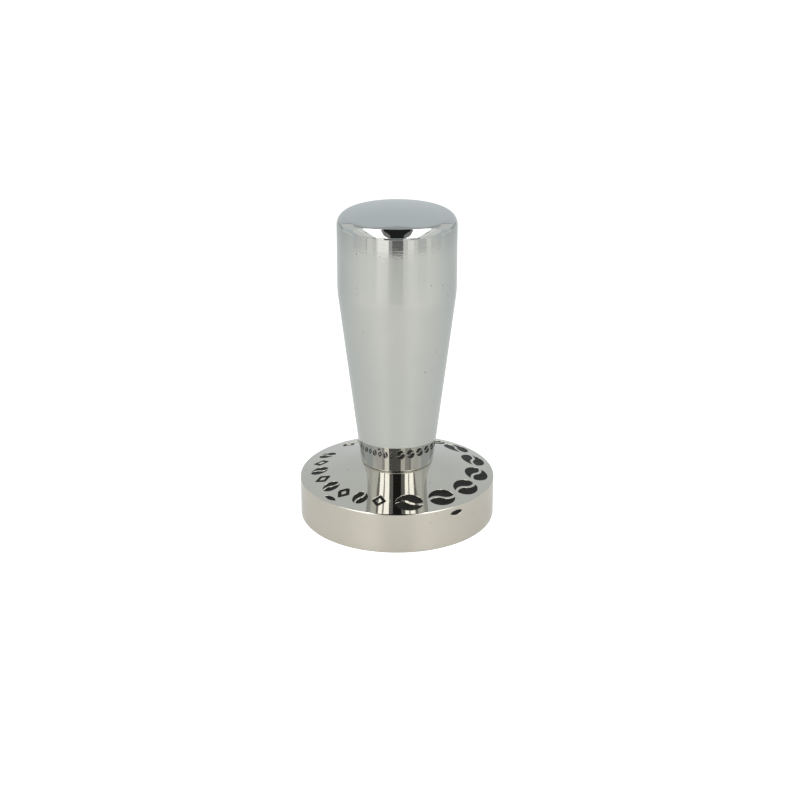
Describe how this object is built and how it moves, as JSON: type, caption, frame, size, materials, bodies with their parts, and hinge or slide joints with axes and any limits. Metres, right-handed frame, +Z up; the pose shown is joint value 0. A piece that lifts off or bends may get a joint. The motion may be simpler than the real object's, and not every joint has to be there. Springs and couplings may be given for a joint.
{
  "type": "espresso tamper",
  "caption": "Polished steel espresso tamper: a disc base with a low conical top and black enamel marks, under a tapered screw-on handle with a low crowned top.",
  "frame": {"origin": "centre of the flat tamping face, on the surface that the tamper stands on", "axes": "+Z up along the tamper's axis, towards the handle's top; -Y towards the front"},
  "size_m": [0.058, 0.058, 0.0947],
  "materials": {
    "polished_steel": "mirror-polished stainless steel",
    "satin_steel": "finely polished stainless steel with faint turning marks",
    "thread_steel": "plain machined stainless steel",
    "spring_steel": "plain spring steel",
    "black_enamel": "semi-gloss black enamel fill"
  },
  "bodies": {
    "base": {"tamping_base": "polished_steel", "enamel_large_1": "black_enamel", "enamel_large_2": "black_enamel", "enamel_large_3": "black_enamel", "enamel_large_4": "black_enamel", "enamel_large_5": "black_enamel", "enamel_large_6": "black_enamel", "enamel_small_1": "black_enamel", "enamel_small_2": "black_enamel", "enamel_small_3": "black_enamel", "enamel_small_4": "black_enamel", "enamel_small_5": "black_enamel", "enamel_small_6": "black_enamel", "enamel_small_7": "black_enamel", "enamel_small_8": "black_enamel", "enamel_back_1": "black_enamel", "enamel_back_2": "black_enamel", "enamel_back_3": "black_enamel", "enamel_back_4": "black_enamel", "enamel_back_5": "black_enamel", "enamel_back_6": "black_enamel", "enamel_leaf_top": "black_enamel", "enamel_leaf_side": "black_enamel"},
    "washer": {"split_washer": "spring_steel"},
    "handle": {"handle": "satin_steel", "threaded_stud": "thread_steel"}
  },
  "joints": [
    {"name": "handle_lift", "type": "slide", "parent": "base", "child": "washer", "axis": [0, 0, 1], "range_m": [0, 0.01125]},
    {"name": "handle_turn", "type": "hinge", "parent": "washer", "child": "handle", "pos_m": [0, 0, 0.01745], "axis": [0, 0, 1], "range_deg": [0, 3240]}
  ],
  "couplings": [
    {"joint": "handle_turn", "follows": "handle_lift", "rad_per_m": 5026.5}
  ]
}
